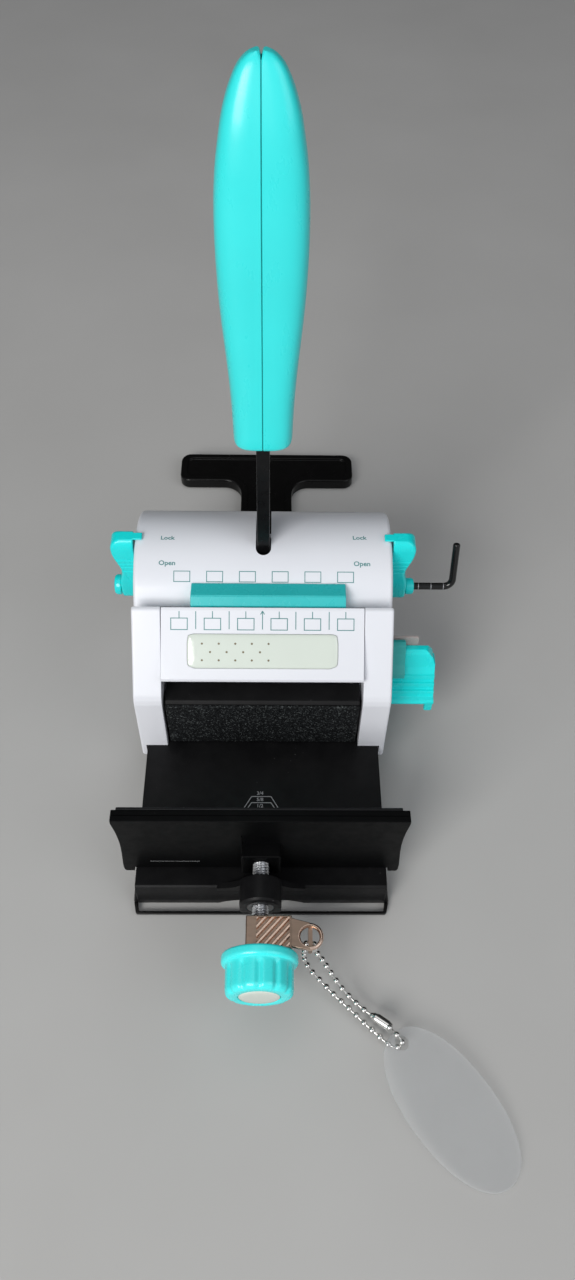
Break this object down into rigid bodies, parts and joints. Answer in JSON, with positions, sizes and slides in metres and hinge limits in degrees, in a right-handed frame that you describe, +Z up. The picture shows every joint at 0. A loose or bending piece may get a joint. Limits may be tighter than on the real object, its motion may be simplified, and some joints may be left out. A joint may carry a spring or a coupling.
{
  "type": "desk-top punch and wire-binding press",
  "caption": "Small lever press that punches a row of rectangular holes along a sheet and squeezes wire bindings shut between a platen and a screw-adjusted fence.",
  "frame": {"origin": "on the standing surface, on the mid-plane, under the head, at the middle of the centre foot pad", "axes": "+X to the right as seen from the fence side, -Y towards the adjusting knob (front), +Z up"},
  "size_m": [0.1499, 0.344, 0.2469],
  "materials": {
    "teal_plastic": "moulded plastic, soft gloss",
    "dark_teal_plastic": "moulded plastic, soft gloss",
    "white_plastic": "moulded plastic, soft gloss",
    "black_paint": "satin black powder coat",
    "black_gloss": "gloss black enamel",
    "black_plastic": "fine-grained matte plastic",
    "grit_pad": "coarse grit-textured pad",
    "rubber": "smooth rubber",
    "steel": "ground steel",
    "zinc": "zinc-plated screw thread",
    "brass": "turned brass",
    "nickel": "nickel-plated beads",
    "rose_metal": "rose-gold plated, satin",
    "cream_label": "domed clear coat over cream",
    "clear_acrylic": "clear acrylic, slightly clouded"
  },
  "bodies": {
    "machine": {"base_bed": "black_paint", "rear_foot": "black_gloss", "front_rail": "black_gloss", "foot_pads": "rubber", "screw_insert": "brass", "side_cover_left": "white_plastic", "side_cover_right": "white_plastic", "front_panel": "white_plastic", "label_plate": "cream_label", "head_cover": "white_plastic", "slot_bar": "teal_plastic", "side_frame_left": "black_paint", "side_frame_right": "black_paint", "tie_rods": "steel", "guide_plate": "steel", "die_plate": "steel", "paper_stop": "steel", "return_springs": "steel", "rod_bearings": "black_plastic", "main_shaft": "steel", "shaft_bushes": "brass", "hub_collars": "steel", "shaft_plug": "teal_plastic", "tray_catch": "dark_teal_plastic", "base_screws": "steel", "cover_screws": "steel"},
    "lever": {"lever_arm": "black_paint", "grip_left": "teal_plastic", "grip_right": "teal_plastic", "grip_screws": "steel"},
    "ram": {"ram_plate": "steel", "ram_rods": "steel", "platen": "black_paint", "platen_pad": "grit_pad", "punch_pins": "steel"},
    "fence": {"fence_plate": "black_paint", "fence_facing": "black_plastic", "fence_nut": "black_plastic", "spacer_clip": "rose_metal", "ball_chain": "nickel", "chain_connector": "nickel", "oval_tag": "clear_acrylic"},
    "knob": {"adjuster_bolt": "zinc", "adjuster_knob": "teal_plastic", "knob_disc": "cream_label"},
    "lock_left": {"lock_lever_left": "teal_plastic"},
    "lock_right": {"lock_lever_right": "teal_plastic"},
    "collet": {"rod_collet": "teal_plastic"},
    "guide_rod": {"edge_guide_rod": "black_paint"},
    "tray": {"chip_tray": "white_plastic", "tray_grip": "teal_plastic", "tray_flap": "clear_acrylic"}
  },
  "joints": [
    {"name": "lever_swing", "type": "hinge", "parent": "machine", "child": "lever", "pos_m": [0, 0.0045, 0.0493], "axis": [-1, 0, 0], "range_deg": [0, 65], "stiffness_Nm_per_rad": 0.14, "springref_deg": -114.59},
    {"name": "ram_slide", "type": "slide", "parent": "machine", "child": "ram", "axis": [0, -1, 0], "range_m": [0, 0.012]},
    {"name": "fence_slide", "type": "slide", "parent": "machine", "child": "fence", "axis": [0, 1, 0], "range_m": [-0.005, 0.004]},
    {"name": "knob_spin", "type": "hinge", "parent": "fence", "child": "knob", "pos_m": [0, -0.15, 0.0302], "axis": [0, 1, 0], "range_deg": [-1800, 1440]},
    {"name": "lock_left_turn", "type": "hinge", "parent": "machine", "child": "lock_left", "pos_m": [0, 0.0045, 0.0493], "axis": [1, 0, 0], "range_deg": [0, 21]},
    {"name": "lock_right_turn", "type": "hinge", "parent": "machine", "child": "lock_right", "pos_m": [0, 0.0045, 0.0493], "axis": [1, 0, 0], "range_deg": [0, 21]},
    {"name": "guide_turn", "type": "hinge", "parent": "machine", "child": "collet", "pos_m": [0, 0.0045, 0.0493], "axis": [1, 0, 0], "continuous": true},
    {"name": "guide_slide", "type": "slide", "parent": "collet", "child": "guide_rod", "axis": [1, 0, 0], "range_m": [-0.012, 0.022]},
    {"name": "tray_slide", "type": "slide", "parent": "machine", "child": "tray", "axis": [1, 0, 0], "range_m": [0, 0.06]}
  ],
  "couplings": [
    {"joint": "ram_slide", "follows": "lever_swing", "m_per_rad": 0.010578},
    {"joint": "knob_spin", "follows": "fence_slide", "rad_per_m": 6283.1}
  ]
}
